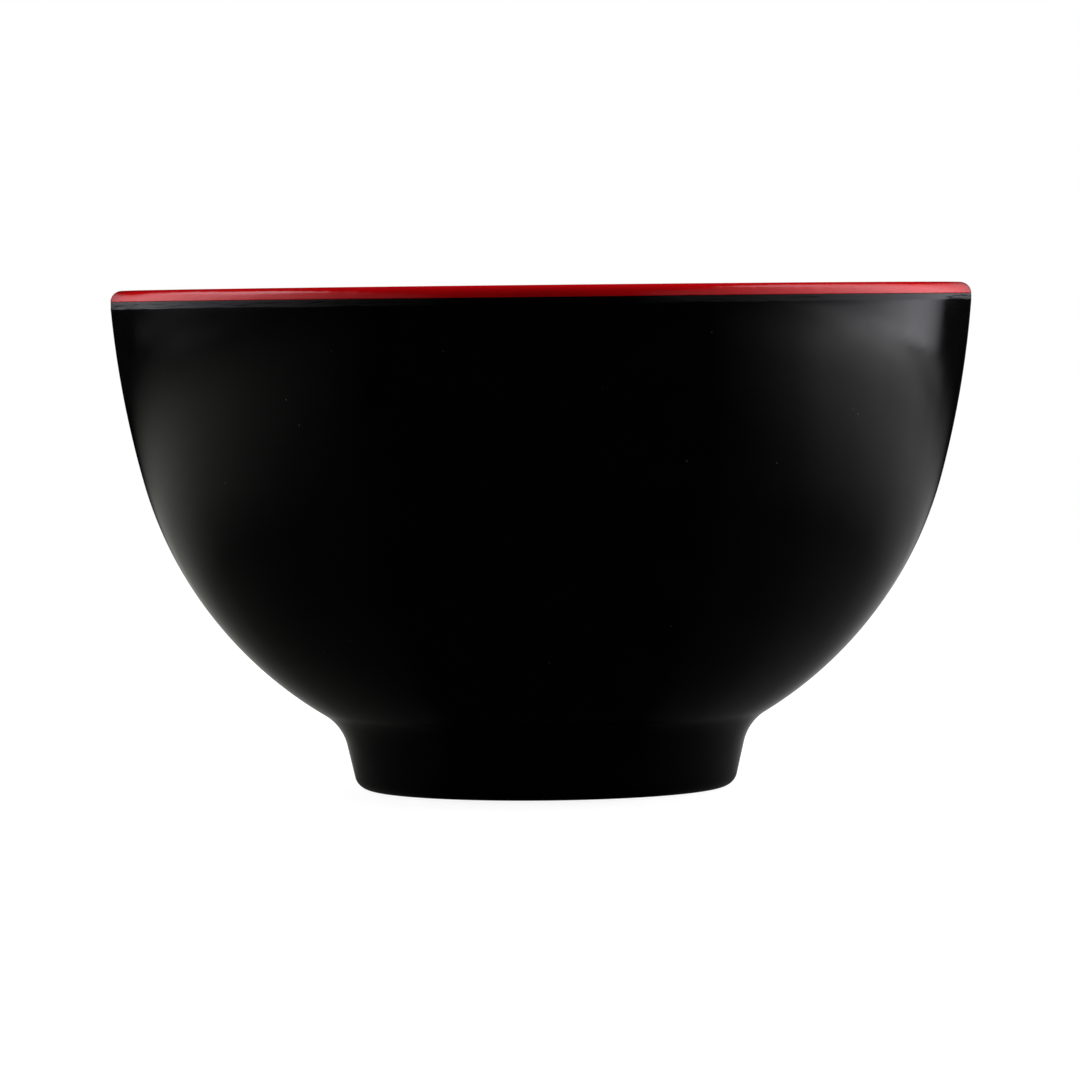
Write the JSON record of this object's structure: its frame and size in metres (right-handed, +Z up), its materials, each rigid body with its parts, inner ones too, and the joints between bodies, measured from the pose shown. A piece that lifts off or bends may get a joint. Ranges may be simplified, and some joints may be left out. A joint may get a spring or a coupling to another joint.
{
  "type": "bowl",
  "caption": "Round footed melamine bowl for rice or soup: a black satin shell with a foot ring, and a glossy red liner that folds over the top as a rounded lip.",
  "frame": {"origin": "centre of the foot ring, on the surface that the bowl stands on", "axes": "+Z up along the bowl's axis; the bowl is turned about Z, so X and Y are free, and the picture looks along +Y"},
  "size_m": [0.12, 0.12, 0.07],
  "materials": {
    "black_melamine": "satin black, with the trimmed band under the lip buffed smoother",
    "red_melamine": "gloss red"
  },
  "bodies": {
    "root": {"outer_shell": "black_melamine", "inner_liner": "red_melamine"}
  },
  "joints": []
}
